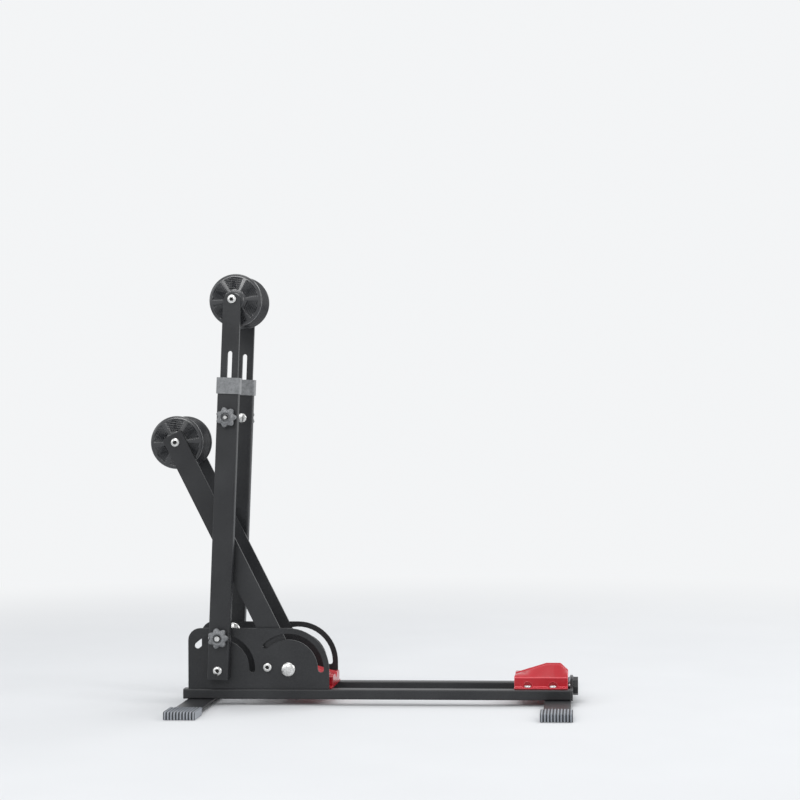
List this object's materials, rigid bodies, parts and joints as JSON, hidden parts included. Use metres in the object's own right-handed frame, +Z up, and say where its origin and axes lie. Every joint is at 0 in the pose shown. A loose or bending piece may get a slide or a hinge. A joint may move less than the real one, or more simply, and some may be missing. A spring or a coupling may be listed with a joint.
{
  "type": "bike parking stand",
  "caption": "Floor stand that holds one bicycle wheel between twin rails, with wheel pads, a low roller on a swinging arm and a high roller on tilting, telescoping uprights.",
  "frame": {"origin": "on the floor, under the middle of the stand's bounding box", "axes": "+X along the rails from the roller end to the end knob, +Y across the rails to the far side, +Z up"},
  "size_m": [0.6092, 0.364, 0.6135],
  "materials": {
    "black_coat": "fine black powder coat",
    "cap_rubber": "matte grey ribbed rubber",
    "red_plastic": "glossy red moulding",
    "collar_plastic": "satin grey moulding",
    "knob_plastic": "satin dark grey moulding",
    "roller_plastic": "satin black moulding",
    "zinc": "bright zinc plate",
    "nylon": "natural nylon",
    "bronze": "sintered bronze"
  },
  "bodies": {
    "base": {"rail_near": "black_coat", "rail_far": "black_coat", "foot_bar_left": "black_coat", "foot_bar_right": "black_coat", "foot_cap_left_near": "cap_rubber", "foot_cap_left_far": "cap_rubber", "foot_cap_right_near": "cap_rubber", "foot_cap_right_far": "cap_rubber", "side_plate_near": "black_coat", "side_plate_far": "black_coat", "wheel_pad_left": "red_plastic", "wheel_pad_right": "red_plastic", "end_plate": "black_coat", "end_stud": "zinc", "stop_tube": "black_coat", "stop_bolt": "zinc", "stop_nut": "zinc", "upright_pivot_bolt_near": "zinc", "upright_pivot_bolt_far": "zinc", "upright_pivot_nut_near": "zinc", "upright_pivot_nut_far": "zinc", "upright_washer_near": "nylon", "upright_washer_far": "nylon", "arm_pivot_bolt_near": "zinc", "arm_pivot_bolt_far": "zinc", "arm_pivot_nut_near": "zinc", "arm_pivot_nut_far": "zinc", "arm_washer_near": "nylon", "arm_washer_far": "nylon"},
    "end_knob": {"end_knob": "knob_plastic"},
    "upright": {"upright_tube_near": "black_coat", "upright_tube_far": "black_coat", "collar_near": "collar_plastic", "collar_far": "collar_plastic", "lock_bolt_near": "zinc", "lock_bolt_far": "zinc", "height_bolt_near": "zinc", "height_bolt_far": "zinc"},
    "lock_knob_near": {"lock_knob_near": "knob_plastic"},
    "lock_knob_far": {"lock_knob_far": "knob_plastic"},
    "height_knob_near": {"height_knob_near": "knob_plastic"},
    "height_knob_far": {"height_knob_far": "knob_plastic"},
    "height_frame": {"slide_bar_near": "black_coat", "slide_bar_far": "black_coat", "upper_axle": "zinc", "upper_axle_nut": "zinc", "upper_spacer_near": "black_coat", "upper_spacer_far": "black_coat"},
    "upper_roller": {"upper_roller": "roller_plastic", "upper_bush_near": "bronze", "upper_bush_far": "bronze"},
    "arm": {"arm_near": "black_coat", "arm_far": "black_coat", "lower_axle": "zinc", "lower_axle_nut": "zinc"},
    "lower_roller": {"lower_roller": "roller_plastic", "lower_bush_near": "bronze", "lower_bush_far": "bronze"}
  },
  "joints": [
    {"name": "upright_fold", "type": "hinge", "parent": "base", "child": "upright", "pos_m": [-0.20245, 0, 0.05], "axis": [0, 1, 0], "range_deg": [-46, 65]},
    {"name": "height_slide", "type": "slide", "parent": "upright", "child": "height_frame", "axis": [0.0419, 0, 0.9991], "range_m": [-0.068, 0.072]},
    {"name": "upper_roller_spin", "type": "hinge", "parent": "height_frame", "child": "upper_roller", "pos_m": [-0.18042, 0, 0.57554], "axis": [0, 1, 0], "continuous": true},
    {"name": "arm_fold", "type": "hinge", "parent": "base", "child": "arm", "pos_m": [-0.10445, 0, 0.05], "axis": [0, 1, 0], "range_deg": [0, 108]},
    {"name": "lower_roller_spin", "type": "hinge", "parent": "arm", "child": "lower_roller", "pos_m": [-0.26665, 0, 0.37251], "axis": [0, 1, 0], "continuous": true},
    {"name": "lock_knob_near_turn", "type": "hinge", "parent": "upright", "child": "lock_knob_near", "pos_m": [-0.2005, -0.07, 0.09646], "axis": [0, 1, 0], "continuous": true},
    {"name": "lock_knob_far_turn", "type": "hinge", "parent": "upright", "child": "lock_knob_far", "pos_m": [-0.2005, 0.07, 0.09646], "axis": [0, 1, 0], "continuous": true},
    {"name": "height_knob_near_turn", "type": "hinge", "parent": "upright", "child": "height_knob_near", "pos_m": [-0.18746, -0.07, 0.40769], "axis": [0, 1, 0], "continuous": true},
    {"name": "height_knob_far_turn", "type": "hinge", "parent": "upright", "child": "height_knob_far", "pos_m": [-0.18746, 0.07, 0.40769], "axis": [0, 1, 0], "continuous": true},
    {"name": "end_knob_turn", "type": "hinge", "parent": "base", "child": "end_knob", "pos_m": [0.30115, 0, 0.022], "axis": [1, 0, 0], "continuous": true}
  ]
}
